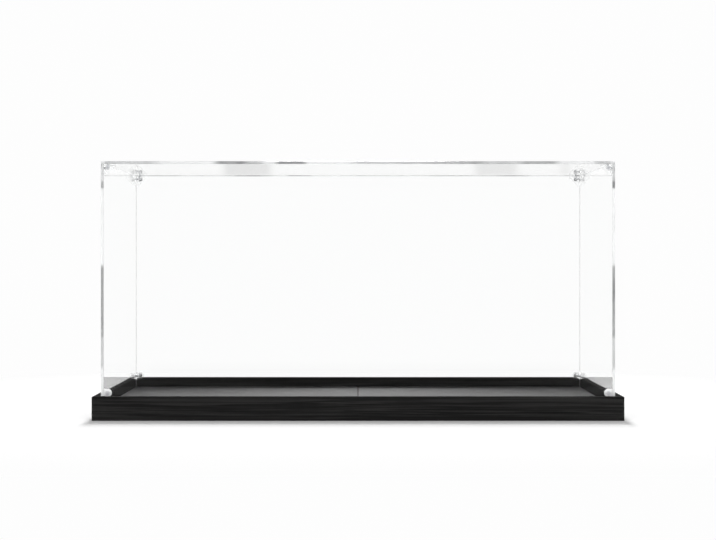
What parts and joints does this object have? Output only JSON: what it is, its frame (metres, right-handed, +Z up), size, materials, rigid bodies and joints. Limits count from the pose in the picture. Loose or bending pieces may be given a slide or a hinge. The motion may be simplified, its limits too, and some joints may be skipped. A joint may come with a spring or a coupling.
{
  "type": "acrylic display case",
  "caption": "Clear rectangular lift-off hood of acrylic sheets screwed to moulded corner connectors, standing in a shallow black board tray, for showing and dust-proofing a model.",
  "frame": {"origin": "under the middle of the tray, on the surface that the case stands on", "axes": "+X along the length to the right as seen from the front, +Y to the back, +Z up"},
  "size_m": [0.665, 0.26, 0.325],
  "materials": {
    "black_wood": "satin",
    "floor_board": "satin",
    "batten_board": "matte",
    "wood_screw_steel": "satin",
    "bracket_steel": "satin",
    "clear_acrylic": "polished",
    "connector_plastic": "gloss",
    "hood_screw_steel": "satin"
  },
  "bodies": {
    "base": {"front_rail": "black_wood", "back_rail": "black_wood", "left_rail": "black_wood", "right_rail": "black_wood", "left_floor_board": "floor_board", "right_floor_board": "floor_board", "centre_batten": "batten_board", "batten_screws": "wood_screw_steel", "corner_bracket_front_left": "bracket_steel", "corner_bracket_front_right": "bracket_steel", "corner_bracket_back_left": "bracket_steel", "corner_bracket_back_right": "bracket_steel", "bracket_screws": "wood_screw_steel"},
    "hood": {"front_panel": "clear_acrylic", "back_panel": "clear_acrylic", "left_panel": "clear_acrylic", "right_panel": "clear_acrylic", "top_panel": "clear_acrylic", "top_connector_front_left": "connector_plastic", "top_connector_front_right": "connector_plastic", "top_connector_back_left": "connector_plastic", "top_connector_back_right": "connector_plastic", "lower_connector_front_left": "connector_plastic", "lower_connector_front_right": "connector_plastic", "lower_connector_back_left": "connector_plastic", "lower_connector_back_right": "connector_plastic", "front_panel_screws": "hood_screw_steel", "back_panel_screws": "hood_screw_steel", "left_panel_screws": "hood_screw_steel", "right_panel_screws": "hood_screw_steel", "top_panel_screws": "hood_screw_steel"}
  },
  "joints": [
    {"name": "hood_lift", "type": "slide", "parent": "base", "child": "hood", "axis": [0, 0, 1], "range_m": [0, 0.3]}
  ]
}
